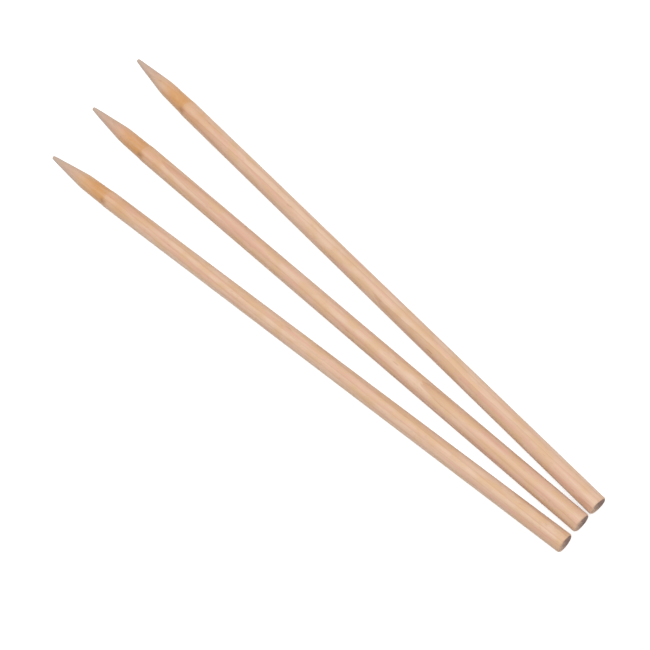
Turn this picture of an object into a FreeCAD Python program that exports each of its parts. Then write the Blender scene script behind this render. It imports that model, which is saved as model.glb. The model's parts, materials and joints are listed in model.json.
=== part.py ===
"""Three straight knitting needles of pale wood, fanned out on a table.

Each needle is turned from one round stick: a parallel shank, a low shoulder, a short sanded
land and a blunt conical point. The other end is cut square and its rim is eased.

Frame: +X runs along the middle needle towards its point, +Y is to the left, +Z is up.
The origin is on the table, under the centre of the box that the set fills.
Sizes are in millimetres and degrees.
"""

import FreeCAD, Part
import Sketcher
import math
import os

V = FreeCAD.Vector

# Driving dimensions: alias, value, what it is.
DIMENSIONS = [
    ("needle_length", 250.0, "overall length of a needle"),
    ("shank_diameter", 7.0, "diameter of the parallel shank"),
    ("nose_radius", 0.85, "radius of the blunt nose"),
    ("point_length", 19.0, "length of the conical point, nose included"),
    ("heel_relief", 0.45, "how deep the heel of the point lies below the shank's surface"),
    ("land_length", 12.0, "length of the sanded land behind the point"),
    ("shoulder_relief", 0.17, "how deep the shoulder's foot lies below the shank's surface"),
    ("shoulder_length", 2.0, "length of the slope from the land up to the shank"),
    ("heel_blend_radius", 30.0, "blend between the point and the land"),
    ("shoulder_blend_radius", 10.0, "blends at the foot and the top of the shoulder"),
    ("rim_chamfer", 0.4, "eased rim of the cut end"),
    ("left_gap", 1.25, "gap between the middle and left shanks at the cut ends"),
    ("right_gap", 0.5, "gap between the middle and right shanks at the cut ends"),
    ("left_fan_angle", 3.75, "turn of the left needle away from the middle one"),
    ("right_fan_angle", 4.13, "turn of the right needle away from the middle one"),
    ("left_overhang", 0.24, "how far the left cut end stands behind the middle one"),
    ("right_overhang", 0.39, "how far the right cut end stands behind the middle one"),
    ("centre_x", 0.0, "centre of the set along X, measured from the middle needle"),
    ("centre_y", 0.0, "centre of the set along Y, measured from the middle needle"),
]

# Where each needle lies: name, then formulas for the centre of its cut end and its turn.
NEEDLES = [
    (
        "left_needle",
        "-sizes.left_overhang",
        "sizes.shank_diameter + sizes.left_gap",
        "sizes.left_fan_angle",
    ),
    ("middle_needle", "0", "0", "0"),
    (
        "right_needle",
        "-sizes.right_overhang",
        "-(sizes.shank_diameter + sizes.right_gap)",
        "-sizes.right_fan_angle",
    ),
]

START, END = 1, 2            # vertex of a sketch edge
CENTRE = 3                   # centre of a sketch arc
ORIGIN = (-1, 1)             # the sketch's own origin
H_AXIS = -1                  # the sketch's own horizontal axis
EDGE_TOLERANCE = 0.001


def make_sheet(doc):
    """The spreadsheet of driving dimensions, one alias for each."""
    sheet = doc.addObject("Spreadsheet::Sheet", "sizes")
    for row, (alias, value, note) in enumerate(DIMENSIONS, start=1):
        sheet.set(f"A{row}", alias)
        sheet.set(f"B{row}", str(value))
        sheet.set(f"C{row}", note)
        sheet.setAlias(f"B{row}", alias)
    doc.recompute()
    return sheet


def origin_plane(body, role):
    """One of the body's own origin planes, found by its role."""
    return next(f for f in body.Origin.OriginFeatures if f.Role == role)


def draw_profile(body, sheet):
    """Half of the needle's outline, from the cut end at the origin to the nose on +X."""
    sketch = body.newObject("Sketcher::SketchObject", body.Name + "_profile")
    sketch.AttachmentSupport = [(origin_plane(body, "XZ_Plane"), "")]
    sketch.MapMode = "FlatFace"

    nose = sheet.needle_length
    heel = nose - sheet.point_length
    foot = heel - sheet.land_length
    top = foot - sheet.shoulder_length
    shank_radius = sheet.shank_diameter / 2
    foot_radius = shank_radius - sheet.shoulder_relief
    heel_radius = shank_radius - sheet.heel_relief
    nose_centre = V(nose - sheet.nose_radius, 0, 0)
    # a first guess: the flank leaves the nose a little ahead of square
    flank_rise = heel_radius / sheet.point_length
    nose_circle = Part.Circle(nose_centre, V(0, 0, 1), sheet.nose_radius)
    nose_arc = Part.ArcOfCircle(nose_circle, 0, math.pi / 2 - flank_rise)

    corners = [
        V(0, 0, 0),
        V(0, shank_radius, 0),
        V(top, shank_radius, 0),
        V(foot, foot_radius, 0),
        V(heel, heel_radius, 0),
        nose_arc.EndPoint,
    ]
    for first, second in zip(corners, corners[1:]):
        sketch.addGeometry(Part.LineSegment(first, second), False)
    cut_end, shank, shoulder, land, flank = range(5)
    arc = sketch.addGeometry(nose_arc, False)
    axis = sketch.addGeometry(Part.LineSegment(V(nose, 0, 0), V(0, 0, 0)), False)

    def rule(*terms):
        return sketch.addConstraint(Sketcher.Constraint(*terms))

    def size(name, formula, *terms):
        index = rule(*terms)
        sketch.renameConstraint(index, name)
        sketch.setExpression("Constraints." + name, formula)

    rule("Coincident", cut_end, START, *ORIGIN)
    for line in (cut_end, shank, shoulder, land):
        rule("Coincident", line, END, line + 1, START)
    rule("Tangent", flank, END, arc, END)
    rule("Coincident", arc, START, axis, START)
    rule("Coincident", axis, END, cut_end, START)
    rule("PointOnObject", arc, CENTRE, H_AXIS)
    rule("Vertical", cut_end)
    rule("Horizontal", shank)
    rule("Horizontal", axis)
    size("length", "sizes.needle_length", "DistanceX", axis, END, axis, START, nose)
    size("shank_y", "sizes.shank_diameter / 2", "DistanceY", axis, END, shank, START, shank_radius)
    size("slope_x", "sizes.shoulder_length", "DistanceX", shoulder, START, shoulder, END, foot - top)
    size("land_x", "sizes.land_length", "DistanceX", land, START, land, END, heel - foot)
    size("point_x", "sizes.point_length", "DistanceX", flank, START, axis, START, nose - heel)
    foot_depth, heel_depth = sheet.shoulder_relief, sheet.heel_relief
    size("foot_y", "sizes.shoulder_relief", "DistanceY", shoulder, END, shank, END, foot_depth)
    size("heel_y", "sizes.heel_relief", "DistanceY", land, END, shank, END, heel_depth)
    size("nose_r", "sizes.nose_radius", "Radius", arc, sheet.nose_radius)

    # each blend keeps the sharp corner as a construction point, which holds the corner's sizes
    for line, name, alias in (
        (land, "heel_blend", "heel_blend_radius"),
        (shoulder, "foot_blend", "shoulder_blend_radius"),
        (shank, "top_blend", "shoulder_blend_radius"),
    ):
        blend = sketch.GeometryCount
        sketch.fillet(line, END, sheet.get(alias), True, True)
        size(name, "sizes." + alias, "Radius", blend, sheet.get(alias))
    return sketch


def rim_edge(feature):
    """Name of the feature's round edge at the cut end."""
    for number, edge in enumerate(feature.Shape.Edges, start=1):
        box = edge.BoundBox
        if box.YLength > 0 and abs(box.XMin) + abs(box.XMax) < EDGE_TOLERANCE:
            return f"Edge{number}"
    raise ValueError(f"{feature.Name} has no rim at its cut end")


def make_needle(doc, sheet, name):
    """One needle: its outline revolved about its own axis, and the eased rim."""
    body = doc.addObject("PartDesign::Body", name)
    body.Label = name
    sketch = draw_profile(body, sheet)

    turned = body.newObject("PartDesign::Revolution", name + "_turned")
    turned.Profile = sketch
    turned.ReferenceAxis = (sketch, ["H_Axis"])
    turned.Angle = 360
    doc.recompute()

    rim = body.newObject("PartDesign::Chamfer", name + "_rim")
    rim.Base = (turned, [rim_edge(turned)])
    rim.setExpression("Size", "sizes.rim_chamfer")
    body.Tip = rim
    return body


def lay_needle(body, back, across, turn):
    """Binds the needle's place: its axis is one shank radius above the table."""
    upright = V(0, 0, 1)
    body.Placement.Rotation = FreeCAD.Rotation(upright, 1)  # gives the bound angle its axis
    body.setExpression("Placement.Base.x", f"{back} - sizes.centre_x")
    body.setExpression("Placement.Base.y", f"{across} - sizes.centre_y")
    body.setExpression("Placement.Base.z", "sizes.shank_diameter / 2")
    body.setExpression("Placement.Rotation.Angle", turn)


def centre_set(doc, sheet, bodies):
    """Moves the set so that its box is centred on the origin."""
    box = Part.makeCompound([body.Shape for body in bodies]).optimalBoundingBox(False)
    sheet.set("centre_x", str(box.Center.x))
    sheet.set("centre_y", str(box.Center.y))
    doc.recompute()


def check(doc, bodies):
    """Stops on a failed object, a bad solid or two needles that meet."""
    for item in doc.Objects:
        if "Invalid" in item.State or "Error" in item.State:
            raise RuntimeError(f"{item.Name} failed: {item.State}")
    for body in bodies:
        shape = body.Shape
        if shape.isNull() or not shape.isValid() or len(shape.Solids) != 1:
            raise RuntimeError(f"{body.Label} is not one valid solid")
    for number, body in enumerate(bodies):
        for other in bodies[number + 1:]:
            gap = body.Shape.distToShape(other.Shape)[0]
            print(f"{body.Label} to {other.Label}: {gap:.3f} mm apart")
            if gap <= 0:
                raise RuntimeError(f"{body.Label} meets {other.Label}")


def main():
    doc = FreeCAD.newDocument("straight_needles")
    sheet = make_sheet(doc)
    bodies = []
    for name, back, across, turn in NEEDLES:
        body = make_needle(doc, sheet, name)
        lay_needle(body, back, across, turn)
        bodies.append(body)
    doc.recompute()
    centre_set(doc, sheet, bodies)
    check(doc, bodies)

    os.makedirs("parts", exist_ok=True)
    for body in bodies:
        body.Shape.exportStep(os.path.join("parts", body.Label + ".step"))
        box = body.Shape.optimalBoundingBox(False)
        print(f"{body.Label}: {box.XLength:.2f} x {box.YLength:.2f} x {box.ZLength:.2f} mm")


main()
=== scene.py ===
import json
import math

import bmesh
import bpy
from mathutils import Color, Matrix, Quaternion, Vector


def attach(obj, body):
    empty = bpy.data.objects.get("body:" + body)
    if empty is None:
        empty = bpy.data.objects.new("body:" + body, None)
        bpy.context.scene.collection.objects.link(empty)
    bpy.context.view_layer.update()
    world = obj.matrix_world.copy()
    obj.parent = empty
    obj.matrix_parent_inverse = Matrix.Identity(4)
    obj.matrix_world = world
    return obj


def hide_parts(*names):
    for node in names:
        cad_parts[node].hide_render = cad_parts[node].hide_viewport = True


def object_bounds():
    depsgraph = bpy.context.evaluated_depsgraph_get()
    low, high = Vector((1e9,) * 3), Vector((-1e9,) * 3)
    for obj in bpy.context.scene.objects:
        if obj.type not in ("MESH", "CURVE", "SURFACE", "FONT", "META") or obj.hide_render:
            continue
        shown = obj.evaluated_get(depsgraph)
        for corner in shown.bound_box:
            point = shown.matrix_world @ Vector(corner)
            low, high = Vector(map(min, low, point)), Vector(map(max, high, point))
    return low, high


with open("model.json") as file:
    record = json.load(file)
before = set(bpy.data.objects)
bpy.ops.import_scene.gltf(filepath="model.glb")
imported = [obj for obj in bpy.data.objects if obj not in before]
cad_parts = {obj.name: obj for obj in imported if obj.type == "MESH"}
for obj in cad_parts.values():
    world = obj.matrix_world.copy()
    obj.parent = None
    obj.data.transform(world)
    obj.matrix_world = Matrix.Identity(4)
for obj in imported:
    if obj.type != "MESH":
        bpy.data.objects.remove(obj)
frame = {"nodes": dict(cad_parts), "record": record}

bl_info = {
    "name": "Straight knitting needles",
    "version": (1, 0, 0),
    "blender": (4, 5, 0),
    "location": "3D View > Sidebar > Needles",
    "description": "Turned wooden knitting needles with the grain, stain and wear of real ones",
    "category": "Add Mesh",
}

MM = 0.001
CAD_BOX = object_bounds()

# A face is square to the needle when this much of its normal lies along the needle.
SQUARE = 0.99
DEAD_SQUARE = 0.9999

# How the left, middle and right needles differ in wear and wood. The steps are slides of
# the patterns from one needle to the next, in metres, the second along, across and deep.
WEAR_STEP = 0.31
BOARD_STEP = (0.37, 0.019, 0.016)
BOARD_ROLLS = (math.radians(20), math.radians(75), math.radians(140))
# Slants of the edge of the painted shade on each sawn end.
END_SHADE_SLANTS = (math.radians(20), math.radians(35), math.radians(5))


# ---------------------------------------------------------------------------
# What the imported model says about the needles
# ---------------------------------------------------------------------------


def mount_of(name):
    """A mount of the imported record, by name."""
    for mount in frame["record"]["mounts"]:
        if mount["name"] == name:
            return mount
    raise RuntimeError(f"the packed record has no mount named {name}")


def needles():
    """Each needle's body, node and material slot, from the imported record."""
    slots = {row["node"]: row["material_slot"] for row in frame["record"]["subparts"]}
    bodies = frame["record"]["behaviour"]["bodies"]
    return [(body, nodes[0], slots[nodes[0]]) for body, nodes in sorted(bodies.items())]


def lie_of(body):
    """Where a needle lies: the middle of its cut end, and its turn about the upright."""
    cut_end = mount_of(f"{body}_cut_end")
    toward_point = -Vector(cut_end["axis"])
    return Vector(cut_end["pos_m"]), math.atan2(toward_point.y, toward_point.x)


def outline_of(body, node):
    """(distance from the cut end, radius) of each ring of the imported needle, in order."""
    butt, turn = lie_of(body)
    to_own_axis = Matrix.Rotation(-turn, 3, "Z")
    rings = {}
    for vertex in frame["nodes"][node].data.vertices:
        place = to_own_axis @ (vertex.co - butt)
        rings[round(place.x / MM, 2)] = math.hypot(place.y, place.z)
    return [(distance * MM, rings[distance]) for distance in sorted(rings)]


def radius_at(outline, distance):
    """The needle's radius at a distance from its cut end, between the rings of the outline."""
    for (start, start_radius), (end, end_radius) in zip(outline, outline[1:]):
        if distance <= end:
            share = (distance - start) / (end - start)
            return start_radius + share * (end_radius - start_radius)
    return outline[-1][1]


def straight_part(outline):
    """Where the shank's full thickness starts and ends."""
    nearly_full = 0.9999 * max(radius for _, radius in outline)
    straight = [distance for distance, radius in outline if radius > nearly_full]
    return straight[0], straight[-1]


def screen(red, green, blue):
    """A colour as a screen shows it, 0 to 255, in the linear values that shaders use."""
    return tuple(Color((red / 255, green / 255, blue / 255)).from_srgb_to_scene_linear())


# ---------------------------------------------------------------------------
# Settings
# ---------------------------------------------------------------------------


def length_setting(name, description, default):
    """A length that a user can change."""
    return bpy.props.FloatProperty(
        name=name, description=description, default=default, min=0.0, precision=5,
        subtype="DISTANCE", unit="LENGTH",
    )


def colour_setting(name, description, default):
    """A colour that a user can change."""
    return bpy.props.FloatVectorProperty(
        name=name, description=description, default=default, min=0.0, max=1.0,
        size=3, subtype="COLOR",
    )


class NeedleShape(bpy.types.PropertyGroup):
    """How finely the needles are turned, and how far they are worn."""

    sides: bpy.props.IntProperty(
        name="Sides", description="Faces round a needle", default=96, min=24, max=256,
    )
    shank_cuts: bpy.props.IntProperty(
        name="Shank cuts", description="Cuts along the shank, made twice over",
        default=14, min=1, max=30,
    )
    point_pitch: length_setting(
        "Point pitch", "Distance between rings along the point", 0.5 * MM
    )
    nose_rings: bpy.props.IntProperty(
        name="Nose rings", description="Rings round the rounded end of the point",
        default=9, min=3, max=32,
    )
    rim_wear: length_setting(
        "Rim wear", "How far the two edges of the cut end's chamfer are rounded", 0.1 * MM
    )
    end_rings: bpy.props.IntProperty(
        name="End rings", description="Rings of faces across the cut end",
        default=14, min=2, max=40,
    )
    flat_depth: length_setting(
        "Flat depth", "How far the long sanding flats sink into the shank", 0.045 * MM
    )
    end_relief: length_setting(
        "End relief", "How far the saw and the soft grain sink into the cut end", 0.09 * MM
    )
    nose_wear: length_setting(
        "Nose wear", "How far use has worn the end of the point out of round", 0.06 * MM
    )


class NeedleWood(bpy.types.PropertyGroup):
    """The colours of the wood, its stains and its painted shade, and the sizes of its grain."""

    pale: colour_setting("Pale wood", "The lightest streaks", screen(227, 193, 166))
    rosy: colour_setting("Rosy wood", "The pinkish streaks", screen(222, 175, 151))
    honey: colour_setting("Honey wood", "The yellowish streaks", screen(221, 182, 144))
    late: colour_setting("Late wood", "The line at the end of a year's growth",
                         screen(190, 140, 106))
    pore: colour_setting("Pores", "The open ends and sides of the vessels",
                         screen(150, 104, 76))
    fleck: colour_setting("Flecks", "The few brown flecks in the wood", screen(158, 104, 76))
    amber: colour_setting("Amber", "The wood just below the shoulder", screen(212, 156, 99))
    # Brown of the shoulder mark, partly a tool mark and partly painted shade on the side turned
    # from the light.
    burn_and_shade: colour_setting("Burn", "The spot that the tool left at the shoulder",
                         screen(150, 98, 58))
    # Darker sides of the point: partly dull from use, partly painted shade where the cone slopes
    # from the light.
    dulled_and_shaded: colour_setting("Dulled", "The sides of the point", screen(194, 165, 147))
    handled: colour_setting("Handled", "The greyed end of the point", screen(196, 173, 157))
    end_grain: colour_setting("End grain", "The sawn end", screen(208, 168, 137))
    # The dark patch on the sawn end: partly darker end grain, partly painted shade of a face
    # turned from the light.
    dark_end_and_shade: colour_setting("Scorch", "Where the saw ran hot on the sawn end",
                           screen(110, 66, 46))
    ring_pitch: length_setting("Ring pitch", "Thickness of one year's growth", 1.9 * MM)
    fibre_width: length_setting("Fibre width", "Width of the finest streaks", 0.22 * MM)
    pore_width: length_setting("Pore width", "Room that each vessel has", 0.3 * MM)


class NeedleStage(bpy.types.PropertyGroup):
    """The floor, the light and the camera."""

    floor_size: length_setting("Floor size", "Side of the square floor", 12.0)
    floor_glow: bpy.props.FloatProperty(
        name="Floor glow", description="White that the floor adds to itself, not the needles",
        default=0.55, min=0.0,
    )
    sky: bpy.props.FloatProperty(
        name="Sky", description="Strength of the even light from all round",
        default=0.32, min=0.0,
    )
    key_strength: bpy.props.FloatProperty(
        name="Key light", description="Strength of the broad overhead light, in W/m2",
        default=2.35, min=0.0,
    )
    key_spread: bpy.props.FloatProperty(
        name="Key spread", description="How wide the overhead light looks from the table",
        default=math.radians(50), subtype="ANGLE", unit="ROTATION",
    )
    key_from: bpy.props.FloatVectorProperty(
        name="Key from", description="Direction that the overhead light comes from",
        default=(-0.02, -0.13, 1.0), size=3, subtype="DIRECTION",
    )
    azimuth: bpy.props.FloatProperty(
        name="Azimuth", description="Where the camera stands round the needles",
        default=math.radians(-90.52), subtype="ANGLE", unit="ROTATION",
    )
    elevation: bpy.props.FloatProperty(
        name="Elevation", description="How far above the table's level the camera stands",
        default=math.radians(64.9), subtype="ANGLE", unit="ROTATION",
    )
    roll: bpy.props.FloatProperty(
        name="Roll", description="Turn of the camera about its line of sight",
        default=math.radians(-48.77), subtype="ANGLE", unit="ROTATION",
    )
    distance: length_setting("Distance", "From the camera to what it aims at", 517.0 * MM)
    aim: bpy.props.FloatVectorProperty(
        name="Aim", description="What the camera aims at, from the middle of the set",
        default=(-11.06 * MM, 5.64 * MM, 0.0), size=3, subtype="XYZ_LENGTH", unit="LENGTH",
    )
    lens: bpy.props.FloatProperty(
        name="Lens", description="Focal length in millimetres", default=81.8, min=1.0,
    )


# ---------------------------------------------------------------------------
# Turning one needle
# ---------------------------------------------------------------------------


def pick(piece, kind, accepts):
    """In edit mode, selects just the faces or edges that the test accepts."""
    bpy.ops.mesh.select_mode(type=kind)
    bpy.ops.mesh.select_all(action="DESELECT")
    mesh = bmesh.from_edit_mesh(piece.data)
    for part in mesh.faces if kind == "FACE" else mesh.edges:
        part.select_set(accepts(part))
    bmesh.update_edit_mesh(piece.data)


def pull_end(from_distance, from_radius, distance, radius):
    """Extrudes the selected end along the needle to a new distance and radius."""
    step = (distance - from_distance, 0.0, 0.0)
    bpy.ops.mesh.extrude_region_move(TRANSFORM_OT_translate={"value": step})
    share = radius / from_radius
    bpy.ops.transform.resize(value=(1.0, share, share), center_override=(distance, 0.0, 0.0))


def cut_blank(shape, start, end, radius):
    """A round blank on the X axis, as long as the straight part of the shank."""
    bpy.ops.object.select_all(action="DESELECT")
    bpy.ops.mesh.primitive_cylinder_add(
        vertices=shape.sides, radius=radius, depth=end - start,
        location=((start + end) / 2, 0.0, 0.0), rotation=(0.0, math.radians(90), 0.0),
    )
    bpy.ops.object.transform_apply(location=True, rotation=True, scale=True)
    return bpy.context.active_object


def point_stations(shape, outline, shank_end):
    """Distances of the point's rings: evenly along it, then closer round its nose."""
    tip = outline[-1][0]
    nose_radius = next(radius for distance, radius in outline if tip - distance <= radius)
    nose = tip - nose_radius
    steps = round((nose - shank_end) / shape.point_pitch)
    along = [shank_end + (nose - shank_end) * step / steps for step in range(1, steps + 1)]
    turns = [math.radians(90) * ring / shape.nose_rings for ring in range(1, shape.nose_rings)]
    return along + [nose + nose_radius * math.sin(turn) for turn in turns]


def draw_point(shape, piece, outline, shank_end, shank_radius):
    """Draws the blank's end down over the shoulder, the land and the cone to the nose."""
    pick(piece, "FACE", lambda face: face.normal.x > SQUARE)
    distance, radius = shank_end, shank_radius
    for station in point_stations(shape, outline, shank_end):
        station_radius = radius_at(outline, station)
        pull_end(distance, radius, station, station_radius)
        distance, radius = station, station_radius
    tip = outline[-1][0]
    pull_end(distance, radius, tip, radius)
    bpy.ops.mesh.merge(type="CENTER")


def ring_shank(shape, piece, shank_length):
    """Cuts the shank into short rings, in two rounds because one round has a limit."""
    longest = shank_length
    for _ in range(2):
        pick(piece, "EDGE", lambda edge: edge.calc_length() > 0.9 * longest)
        bpy.ops.mesh.subdivide(number_cuts=shape.shank_cuts)
        longest /= shape.shank_cuts + 1


def saw_end(shape, piece, outline, shank_start, shank_radius):
    """Gives the butt its worn chamfer and a sawn face that has rings to its middle."""
    face_distance, face_radius = outline[0]
    pick(piece, "FACE", lambda face: face.normal.x < -SQUARE)
    pull_end(shank_start, shank_radius, face_distance, face_radius)
    near = 0.01 * MM
    rims = (shank_start, face_distance)
    pick(piece, "EDGE", lambda edge: any(
        all(abs(vertex.co.x - rim) < near for vertex in edge.verts) for rim in rims
    ))
    bpy.ops.mesh.bevel(offset=shape.rim_wear, segments=3, affect="EDGES")
    pick(piece, "FACE", lambda face: face.normal.x < -DEAD_SQUARE)
    ring_width = face_radius / (shape.end_rings + 1)
    for _ in range(shape.end_rings):
        bpy.ops.mesh.inset(thickness=ring_width)
    bpy.ops.mesh.poke()


def turn_needle(shape, outline):
    """One needle on the X axis, with the middle of its cut end at the origin."""
    full = max(radius for _, radius in outline)
    shank_start, shank_end = straight_part(outline)
    piece = cut_blank(shape, shank_start, shank_end, full)
    bpy.ops.object.mode_set(mode="EDIT")
    ring_shank(shape, piece, shank_end - shank_start)
    draw_point(shape, piece, outline, shank_end, full)
    saw_end(shape, piece, outline, shank_start, full)
    bpy.ops.mesh.select_all(action="SELECT")
    bpy.ops.mesh.normals_make_consistent(inside=False)
    bpy.ops.object.mode_set(mode="OBJECT")
    return piece


# ---------------------------------------------------------------------------
# Making each copy a little different, and laying it in its place
# ---------------------------------------------------------------------------


def select_only(piece):
    """Makes the piece the one selected and active object."""
    bpy.ops.object.select_all(action="DESELECT")
    piece.select_set(True)
    bpy.context.view_layer.objects.active = piece


def copy_needle(pattern, name):
    """A copy of the turned needle with a mesh of its own."""
    select_only(pattern)
    bpy.ops.object.duplicate(linked=False)
    piece = bpy.context.active_object
    piece.name = name
    piece.data.name = name
    return piece


def sink_surface(piece, depth, grain, shift, reach):
    """Sinks the surface by up to depth, in a soft pattern of the grain's size.

    grain is the pattern's size along the needle and across it both ways, shift slides it
    along, and reach picks the points that it changes.
    """
    group = piece.vertex_groups.new(name="reach")
    group.add([vertex.index for vertex in piece.data.vertices if reach(vertex.co)], 1.0, "REPLACE")
    pattern = bpy.data.textures.new("soft pattern", "CLOUDS")
    pattern.noise_scale = 1.0
    pattern.noise_depth = 2
    ruler = bpy.data.objects.new("ruler", None)
    bpy.context.scene.collection.objects.link(ruler)
    ruler.location = (-shift, 0.0, 0.0)
    ruler.scale = grain
    bpy.context.view_layer.update()
    relief = piece.modifiers.new("relief", "DISPLACE")
    relief.texture = pattern
    relief.texture_coords = "OBJECT"
    relief.texture_coords_object = ruler
    relief.strength = depth
    relief.mid_level = 1.0
    relief.vertex_group = group.name
    select_only(piece)
    bpy.ops.object.modifier_apply(modifier=relief.name)
    piece.vertex_groups.clear()
    bpy.data.objects.remove(ruler)
    bpy.data.textures.remove(pattern)


def wear_needle(shape, piece, length, number):
    """Sanding flats along the shank, a sawn end with relief and a nose worn by use."""
    shift = (number + 1) * WEAR_STEP
    long_flats = (38 * MM, 2.6 * MM, 2.6 * MM)
    saw_scores = (4 * MM, 0.45 * MM, 2.4 * MM)
    small_dents = (0.9 * MM, 0.7 * MM, 0.7 * MM)
    past_rim = 1.5 * MM
    near_face, face_reach = 0.02 * MM, 2.9 * MM
    nose_start = length - 1.6 * MM

    def on_side(place):
        return place.x > past_rim

    def on_cut_end(place):
        return place.x < near_face and math.hypot(place.y, place.z) < face_reach

    def on_nose(place):
        return place.x > nose_start

    sink_surface(piece, shape.flat_depth, long_flats, shift, on_side)
    sink_surface(piece, shape.end_relief, saw_scores, shift, on_cut_end)
    sink_surface(piece, shape.nose_wear, small_dents, shift, on_nose)


def lay_needle(piece, butt, turn):
    """Lays the needle in its place, with the place kept in its mesh."""
    sharp_edge = math.radians(35)
    piece.location = butt
    piece.rotation_euler = (0.0, 0.0, turn)
    select_only(piece)
    bpy.ops.object.transform_apply(location=True, rotation=True, scale=True)
    bpy.ops.object.shade_smooth_by_angle(angle=sharp_edge)


# ---------------------------------------------------------------------------
# Wood
# ---------------------------------------------------------------------------


class Nodes:
    """Short words for adding shader nodes to one material or world."""

    def __init__(self, owner):
        owner.use_nodes = True
        self.tree = owner.node_tree
        self.tree.nodes.clear()

    def add(self, kind, inputs=None, **settings):
        """A node with its settings, and its inputs set to values or linked to sockets."""
        node = self.tree.nodes.new(kind)
        for name, value in settings.items():
            setattr(node, name, value)
        for socket, value in (inputs or {}).items():
            self.feed(node.inputs[socket], value)
        return node

    def feed(self, socket, value):
        """Links an input to another socket, or sets it to a value or a colour."""
        if isinstance(value, bpy.types.NodeSocket):
            self.tree.links.new(value, socket)
        elif socket.type == "RGBA" and len(value) == 3:
            socket.default_value = (*value, 1.0)
        else:
            socket.default_value = value

    def maths(self, operation, first, second=0.0, clamp=False):
        """One step of arithmetic, on one value or two."""
        return self.add("ShaderNodeMath", {0: first, 1: second}, operation=operation,
                        use_clamp=clamp).outputs[0]

    def between(self, value, start, end, low=0.0, high=1.0):
        """low where value is at start, high where it is at end, and smooth in between."""
        return self.add(
            "ShaderNodeMapRange",
            {"Value": value, "From Min": start, "From Max": end, "To Min": low, "To Max": high},
            interpolation_type="SMOOTHSTEP",
        ).outputs["Result"]

    def moved(self, vector, location=(0, 0, 0), rotation=(0, 0, 0), scale=(1, 1, 1),
              kind="POINT"):
        """A place scaled, turned and then slid, or the other way round for kind TEXTURE."""
        return self.add(
            "ShaderNodeMapping",
            {"Vector": vector, "Location": location, "Rotation": rotation, "Scale": scale},
            vector_type=kind,
        ).outputs["Vector"]

    def streaks(self, grain, length, width, detail=2.0, roughness=0.5, slide=0.0):
        """Soft streaks of that length along the grain and that width across it, 0 to 1."""
        scale = (1 / length, 1 / width, 1 / width)
        return self.add(
            "ShaderNodeTexNoise",
            {"Vector": self.moved(grain, scale=scale, location=(slide, slide, 0)),
             "Scale": 1.0, "Detail": detail, "Roughness": roughness},
        ).outputs["Fac"]

    def blend(self, first, second, share, how="MIX"):
        """The first colour with a share of the second one in it."""
        node = self.add("ShaderNodeMix", {0: share, 6: first, 7: second}, data_type="RGBA",
                        blend_type=how, clamp_factor=True)
        return node.outputs[2]

    def shade(self, colour, low, high, value):
        """colour made darker or lighter, by low where value is 0 to high where it is 1."""
        level = self.add("ShaderNodeMapRange", {"Value": value, "To Min": low, "To Max": high})
        grey = self.add("ShaderNodeCombineXYZ", {axis: level.outputs[0] for axis in range(3)})
        return self.blend(colour, grey.outputs[0], 1.0, "MULTIPLY")

    def curve(self, value, stops):
        """A value that follows the stops, (place from 0 to 1, level)."""
        ramp = self.add("ShaderNodeValToRGB", {"Fac": value})
        ramp.color_ramp.interpolation = "EASE"
        elements = ramp.color_ramp.elements
        while len(elements) > 1:
            elements.remove(elements[-1])
        elements[0].position = stops[0][0]
        elements[0].color = (stops[0][1],) * 3 + (1.0,)
        for place, level in stops[1:]:
            elements.new(place).color = (level,) * 3 + (1.0,)
        return ramp.outputs["Color"]


class Stick:
    """Where a point of one needle is, as sockets: in its grain, along it and across it."""

    def __init__(self, nodes, lie, number, length):
        butt, turn = lie
        along, across, deep = BOARD_STEP
        in_board = (along * (number + 1), across * number, deep * number)
        self.end_shade_slant = END_SHADE_SLANTS[number]
        place = nodes.add("ShaderNodeTexCoord").outputs["Object"]
        self.placed = nodes.moved(place, location=tuple(butt), rotation=(0.0, 0.0, turn),
                                  kind="TEXTURE")
        self.grain = nodes.moved(self.placed, location=in_board,
                                 rotation=(BOARD_ROLLS[number], 0.0, 0.0))
        parts = nodes.add("ShaderNodeSeparateXYZ", {0: self.placed}).outputs
        self.from_butt, self.toward_left = parts[0], parts[1]
        self.from_tip = nodes.maths("SUBTRACT", length, self.from_butt)
        self.waver = nodes.streaks(self.placed, 5 * MM, 2.4 * MM, detail=3.0)

    def wavering_tip(self, nodes, sway):
        """The distance from the tip, made uneven by up to sway."""
        return nodes.maths("ADD", self.from_tip, nodes.maths("MULTIPLY", self.waver, sway))

    def facing(self, nodes, rise):
        """How far a point is out towards the left raised by an angle, and across that."""
        turned = nodes.moved(self.placed, rotation=(-rise, 0.0, 0.0))
        parts = nodes.add("ShaderNodeSeparateXYZ", {0: turned}).outputs
        return parts[1], parts[2]


def growth_rings(nodes, wood, grain):
    """The year's growth as a saw-edged wave, 0 in early wood and 1 at the late line."""
    pith = (0.0, 46 * MM, 5 * MM)
    lean = (0.0, math.radians(0.5), math.radians(1.1))
    sway = 2.4 * MM
    sharpness = 5.0
    wander = nodes.streaks(grain, 70 * MM, 6 * MM, detail=3.0)
    from_pith = nodes.moved(grain, location=pith, rotation=lean)
    across = nodes.add("ShaderNodeVectorMath", {0: from_pith, 1: (0.0, 1.0, 1.0)},
                       operation="MULTIPLY").outputs[0]
    reach = nodes.add("ShaderNodeVectorMath", {0: across}, operation="LENGTH").outputs["Value"]
    swayed = nodes.maths("ADD", reach, nodes.maths("MULTIPLY", wander, sway))
    years = nodes.maths("DIVIDE", swayed, wood.ring_pitch)
    return nodes.maths("POWER", nodes.maths("FRACT", years), sharpness)


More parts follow.
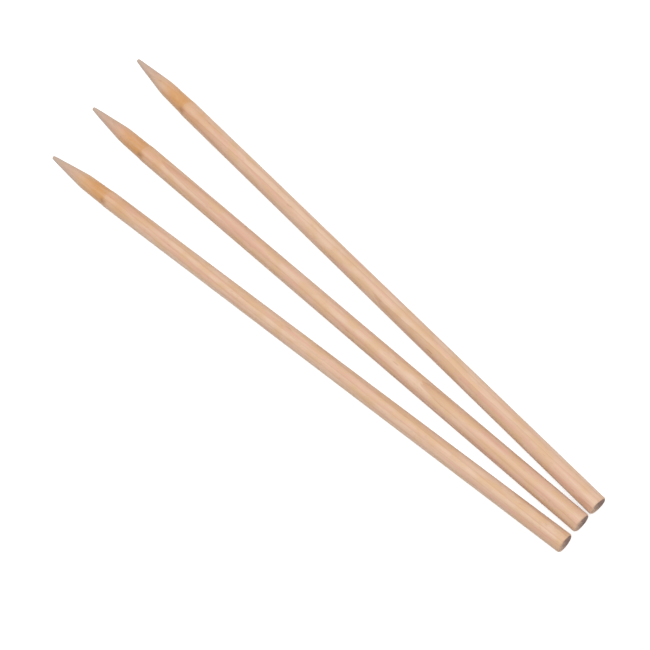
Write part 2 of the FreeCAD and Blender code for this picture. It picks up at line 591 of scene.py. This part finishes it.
def pores(nodes, wood, grain):
    """Vessels: thin tubes along the grain, dashes on the side and dots on the end."""
    along, across = 1 / (2.6 * MM), 1 / wood.pore_width
    tubes = nodes.add(
        "ShaderNodeTexVoronoi",
        {"Vector": nodes.moved(grain, scale=(along, across, across)),
         "Scale": 1.0, "Randomness": 1.0},
        feature="F1",
    )
    core = nodes.between(tubes.outputs["Distance"], 0.26, 0.12)
    wide = nodes.streaks(grain, 9 * MM, 0.9 * MM, detail=1.0, slide=3.7)
    return nodes.maths("MULTIPLY", core, nodes.between(wide, 0.46, 0.66))


def streaked(nodes, wood, grain, late):
    """The plain wood: broad streaks, soft patches and growth lines."""
    broad = nodes.streaks(grain, 40 * MM, 1.9 * MM, detail=3.0, roughness=0.55)
    patch = nodes.streaks(grain, 8 * MM, 3.6 * MM, slide=1.3)
    colour = nodes.blend(wood.rosy[:], wood.pale[:], nodes.between(broad, 0.30, 0.62))
    colour = nodes.blend(colour, wood.honey[:], nodes.between(patch, 0.40, 0.64, 0.0, 0.85))
    return nodes.blend(colour, wood.late[:], nodes.maths("MULTIPLY", late, 0.42))


def fine_grain(nodes, wood, grain, colour, fibre, vessel):
    """What shows through every stain: fibres, pores and a few brown flecks."""
    spots = nodes.streaks(grain, 7 * MM, 0.6 * MM, detail=1.0, slide=8.9)
    colour = nodes.shade(colour, 0.86, 1.12, fibre)
    colour = nodes.blend(colour, wood.pore[:], nodes.maths("MULTIPLY", vessel, 0.4))
    return nodes.blend(colour, wood.fleck[:], nodes.between(spots, 0.745, 0.80, 0.0, 0.6))


def ambered(nodes, wood, stick, colour, point_reach):
    """Amber wood over the land, fading out along the cone and above the shoulder."""
    # The stops are shares of this length, from the tip.
    span = 2 * point_reach
    share = nodes.curve(
        nodes.maths("DIVIDE", stick.wavering_tip(nodes, 2.4 * MM), span, clamp=True),
        [(0.0, 0.05), (0.20, 0.12), (0.276, 0.27), (0.306, 0.38), (0.344, 0.66), (0.397, 0.92),
         (0.435, 1.0), (0.475, 1.0), (0.498, 0.92), (0.518, 0.47), (0.55, 0.33),
         (0.585, 0.32), (0.63, 0.42), (0.70, 0.20), (0.80, 0.12), (1.0, 0.0)],
    )
    mottle = nodes.streaks(stick.grain, 8 * MM, 1.6 * MM, slide=2.2)
    share = nodes.maths("MULTIPLY", share, nodes.between(mottle, 0.25, 0.65, 0.62, 1.0))
    return nodes.blend(colour, wood.amber[:], share), share


def burnt_and_shaded(nodes, wood, stick, colour, point_reach):
    """A small brown mark where the tool stopped, partly a tool mark and partly painted shade: a
    spot high on the left, the side turned from the light, and a faint line on that side only.
    """
    spot_rise = math.radians(52)
    from_line = nodes.maths("SUBTRACT", stick.wavering_tip(nodes, 2.4 * MM),
                            point_reach + 0.6 * MM)
    line = nodes.between(nodes.maths("ABSOLUTE", from_line), 2.3 * MM, 0.2 * MM, 0.0, 0.5)
    outward, beside = stick.facing(nodes, spot_rise)
    beside = nodes.maths("ADD", nodes.maths("ABSOLUTE", beside),
                         nodes.maths("MULTIPLY", stick.waver, 1.2 * MM))
    spot = nodes.maths("MULTIPLY", nodes.between(beside, 2.3 * MM, 0.7 * MM),
                       nodes.between(outward, 0.0, 1 * MM))
    # Painted shade: the line shows only on the left half, the side away from the light.
    faint = nodes.between(stick.toward_left, 0.6 * MM, 2.4 * MM, 0.0, 0.3)
    share = nodes.maths("MULTIPLY", line, nodes.maths("MAXIMUM", spot, faint))
    return nodes.blend(colour, wood.burn_and_shade[:], share)


def handled(nodes, wood, stick, colour):
    """The point, darkened along its sides, partly dull from use and partly painted shade where the
    cone slopes from the light, and greyed by handling at its end.
    """
    tip = stick.wavering_tip(nodes, 3 * MM)
    # Painted shade with wear: the cone's sides darker from 24 mm to 11 mm from the tip.
    colour = nodes.blend(colour, wood.dulled_and_shaded[:], nodes.between(tip, 24 * MM, 11 * MM, 0.0, 0.6))
    return nodes.blend(colour, wood.handled[:],
                       nodes.between(tip, 13.5 * MM, 3 * MM, 0.0, 0.85))


def sawn(nodes, wood, stick, colour, late, vessel):
    """The cut end: growth lines and open pores, and a dark patch, partly darker end grain and
    partly painted shade of the end turned from the light, heaviest on one side.
    """
    ragged = nodes.streaks(stick.placed, 5 * MM, 1.3 * MM, detail=4.0, roughness=0.65, slide=6.3)
    along_shade_edge, _ = stick.facing(nodes, stick.end_shade_slant)
    edge = nodes.maths("ADD", along_shade_edge, nodes.maths("MULTIPLY", ragged, 8 * MM))
    # Painted shade: the sawn end darkened, most on one side of the slanted edge.
    hot = nodes.between(edge, 7.2 * MM, 2.8 * MM, 0.05, 0.95)
    end = nodes.blend(wood.end_grain[:], wood.dark_end_and_shade[:], hot)
    end = nodes.shade(end, 1.2, 0.8, late)
    end = nodes.blend(end, wood.pore[:], nodes.maths("MULTIPLY", vessel, 0.5))
    share = nodes.between(stick.from_butt, 0.2 * MM, 0.03 * MM)
    return nodes.blend(colour, end, share), share


def tooled(nodes, stick, point_reach, fibre, vessel, end_share):
    """The fine relief: fibres, pores, rings from turning the point, and saw scores."""
    ring_width = 0.55 * MM
    tip = stick.wavering_tip(nodes, 2.4 * MM)
    point = nodes.between(tip, point_reach, point_reach - 2 * MM, 0.0, 0.35)
    rings = nodes.add(
        "ShaderNodeTexWave",
        {"Vector": nodes.moved(stick.placed, scale=(1 / ring_width,) * 3), "Scale": 0.32,
         "Distortion": 1.5, "Detail": 2.0, "Detail Scale": 0.6},
        wave_type="BANDS", bands_direction="X",
    ).outputs["Fac"]
    score_slant = (math.radians(30), 0.0, 0.0)
    scores = nodes.add(
        "ShaderNodeTexWave",
        {"Vector": nodes.moved(stick.placed, scale=(1 / MM,) * 3, rotation=score_slant),
         "Scale": 0.9, "Distortion": 3.0, "Detail": 3.0},
        wave_type="BANDS", bands_direction="Y",
    ).outputs["Fac"]
    cut = nodes.maths("MULTIPLY", nodes.maths("MULTIPLY", scores, end_share), 1.6)
    relief = nodes.maths("SUBTRACT", fibre, nodes.maths("MULTIPLY", vessel, 0.7))
    relief = nodes.maths("ADD", relief, nodes.maths("MULTIPLY", rings, point))
    relief = nodes.maths("ADD", relief, cut)
    return nodes.add("ShaderNodeBump", {"Height": relief, "Distance": 0.03 * MM,
                                        "Strength": 0.8}).outputs[0]


def wood_material(wood, name, lie, number, length, point_reach):
    """Fine pale wood, cut from one board, with the marks of turning and of use, and painted shade
    at the shoulder, along the point and on the sawn end.
    """
    material = bpy.data.materials.new(name)
    nodes = Nodes(material)
    stick = Stick(nodes, lie, number, length)
    late = growth_rings(nodes, wood, stick.grain)
    fibre = nodes.streaks(stick.grain, 14 * MM, wood.fibre_width, detail=4.0, roughness=0.65,
                          slide=5.1)
    vessel = pores(nodes, wood, stick.grain)
    colour = streaked(nodes, wood, stick.grain, late)
    colour, amber_share = ambered(nodes, wood, stick, colour, point_reach)
    colour = burnt_and_shaded(nodes, wood, stick, colour, point_reach)
    colour = handled(nodes, wood, stick, colour)
    colour = fine_grain(nodes, wood, stick.grain, colour, fibre, vessel)
    colour, end_share = sawn(nodes, wood, stick, colour, late, vessel)

    rough = nodes.between(fibre, 0.3, 0.7, 0.46, 0.58)
    rough = nodes.maths("SUBTRACT", rough, nodes.maths("MULTIPLY", amber_share, 0.07))
    rough = nodes.maths("ADD", rough, nodes.maths("MULTIPLY", end_share, 0.3), clamp=True)
    shader = nodes.add(
        "ShaderNodeBsdfPrincipled",
        {"Base Color": colour, "Roughness": rough,
         "Normal": tooled(nodes, stick, point_reach, fibre, vessel, end_share),
         "Specular IOR Level": 0.35, "Coat Weight": 0.06, "Coat Roughness": 0.35,
         "Sheen Weight": 0.25, "Sheen Roughness": 0.5},
    )
    nodes.add("ShaderNodeOutputMaterial", {"Surface": shader.outputs[0]})
    return material


# ---------------------------------------------------------------------------
# Stage
# ---------------------------------------------------------------------------


def lay_floor(stage):
    """A plain white floor just below the needles, that glows a little to the camera."""
    drop = 0.02 * MM
    bpy.ops.object.select_all(action="DESELECT")
    bpy.ops.mesh.primitive_plane_add(size=stage.floor_size, location=(0.0, 0.0, -drop))
    floor = bpy.context.active_object
    floor.name = "floor"
    material = bpy.data.materials.new("white floor")
    nodes = Nodes(material)
    seen = nodes.add("ShaderNodeLightPath").outputs["Is Camera Ray"]
    shader = nodes.add(
        "ShaderNodeBsdfPrincipled",
        {"Base Color": (0.8, 0.8, 0.8), "Roughness": 0.9, "Specular IOR Level": 0.1,
         "Emission Color": (1.0, 1.0, 1.0),
         "Emission Strength": nodes.maths("MULTIPLY", seen, stage.floor_glow)},
    )
    nodes.add("ShaderNodeOutputMaterial", {"Surface": shader.outputs[0]})
    floor.data.materials.append(material)


def hang_lamp(stage):
    """One broad soft light overhead, the same at every height above the table."""
    bpy.ops.object.select_all(action="DESELECT")
    bpy.ops.object.light_add(type="SUN", location=(0.0, 0.0, 1.0))
    lamp = bpy.context.active_object
    lamp.name = "key"
    lamp.data.energy = stage.key_strength
    lamp.data.angle = stage.key_spread
    lamp.rotation_mode = "QUATERNION"
    lamp.rotation_quaternion = Vector(stage.key_from).to_track_quat("Z", "Y")


def light_room(stage):
    """Even light from all round, and a white background behind everything."""
    backdrop = 1.2
    world = bpy.data.worlds.new("studio")
    bpy.context.scene.world = world
    nodes = Nodes(world)
    seen = nodes.add("ShaderNodeLightPath").outputs["Is Camera Ray"]
    strength = nodes.add("ShaderNodeMapRange", {"Value": seen, "To Min": stage.sky,
                                                "To Max": backdrop}).outputs[0]
    light = nodes.add("ShaderNodeBackground", {"Color": (1.0, 1.0, 1.0), "Strength": strength})
    nodes.add("ShaderNodeOutputWorld", {"Surface": light.outputs[0]})


def place_camera(stage, centre):
    """The camera, rolled so that the needles run from corner to corner of its picture."""
    full_frame = 36.0
    azimuth, elevation = stage.azimuth, stage.elevation
    back = Vector((math.sin(azimuth) * math.cos(elevation),
                   -math.cos(azimuth) * math.cos(elevation),
                   math.sin(elevation)))
    bpy.ops.object.select_all(action="DESELECT")
    bpy.ops.object.camera_add(location=centre + Vector(stage.aim) + back * stage.distance)
    camera = bpy.context.active_object
    camera.name = "camera"
    camera.rotation_mode = "QUATERNION"
    level = (-back).to_track_quat("-Z", "Y")
    camera.rotation_quaternion = level @ Quaternion((0.0, 0.0, 1.0), stage.roll)
    camera.data.sensor_width = full_frame
    camera.data.lens = stage.lens
    bpy.context.scene.camera = camera


# ---------------------------------------------------------------------------
# Operators, panel and registration
# ---------------------------------------------------------------------------


class NEEDLES_OT_turn_needles(bpy.types.Operator):
    """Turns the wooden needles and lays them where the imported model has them"""

    bl_idname = "needles.turn_needles"
    bl_label = "Turn needles"

    def execute(self, context):
        shape = context.scene.needle_shape
        wood = context.scene.needle_wood
        rows = needles()
        outline = outline_of(*rows[0][:2])
        length = outline[-1][0]
        point_reach = length - straight_part(outline)[1]
        pattern = turn_needle(shape, outline)
        for number, (body, node, slot) in enumerate(rows):
            piece = copy_needle(pattern, f"{node}_wood")
            wear_needle(shape, piece, length, number)
            lie = lie_of(body)
            lay_needle(piece, *lie)
            piece.data.materials.append(
                wood_material(wood, f"{body} wood", lie, number, length, point_reach)
            )
            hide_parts(node)
            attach(piece, body)
        bpy.data.objects.remove(pattern)
        return {"FINISHED"}


class NEEDLES_OT_set_stage(bpy.types.Operator):
    """Lays the floor, hangs the light and places the camera"""

    bl_idname = "needles.set_stage"
    bl_label = "Set stage"

    def execute(self, context):
        stage = context.scene.needle_stage
        low, high = CAD_BOX
        centre = (low + high) / 2
        lay_floor(stage)
        light_room(stage)
        hang_lamp(stage)
        place_camera(stage, centre)
        context.scene.view_settings.view_transform = "Standard"
        return {"FINISHED"}


class NEEDLES_PT_sidebar(bpy.types.Panel):
    """Lists what can be made, each below the settings that it is made with"""

    bl_idname = "NEEDLES_PT_sidebar"
    bl_label = "Knitting needles"
    bl_space_type = "VIEW_3D"
    bl_region_type = "UI"
    bl_category = "Needles"

    def draw(self, context):
        scene = context.scene
        for group, operator in (
            (scene.needle_shape, None),
            (scene.needle_wood, NEEDLES_OT_turn_needles),
            (scene.needle_stage, NEEDLES_OT_set_stage),
        ):
            box = self.layout.box()
            for name in group.bl_rna.properties.keys():
                if name not in ("name", "rna_type"):
                    box.prop(group, name)
            if operator:
                box.operator(operator.bl_idname)


CLASSES = (
    NeedleShape,
    NeedleWood,
    NeedleStage,
    NEEDLES_OT_turn_needles,
    NEEDLES_OT_set_stage,
    NEEDLES_PT_sidebar,
)


def register():
    """Makes the settings, operators and panel known to Blender."""
    for item in CLASSES:
        bpy.utils.register_class(item)
    bpy.types.Scene.needle_shape = bpy.props.PointerProperty(type=NeedleShape)
    bpy.types.Scene.needle_wood = bpy.props.PointerProperty(type=NeedleWood)
    bpy.types.Scene.needle_stage = bpy.props.PointerProperty(type=NeedleStage)


def unregister():
    """Undoes what register does."""
    del bpy.types.Scene.needle_stage
    del bpy.types.Scene.needle_wood
    del bpy.types.Scene.needle_shape
    for item in reversed(CLASSES):
        bpy.utils.unregister_class(item)


def main():
    """Makes the needles and their stage."""
    register()
    bpy.ops.needles.turn_needles()
    bpy.ops.needles.set_stage()


if __name__ == "__main__":
    main()
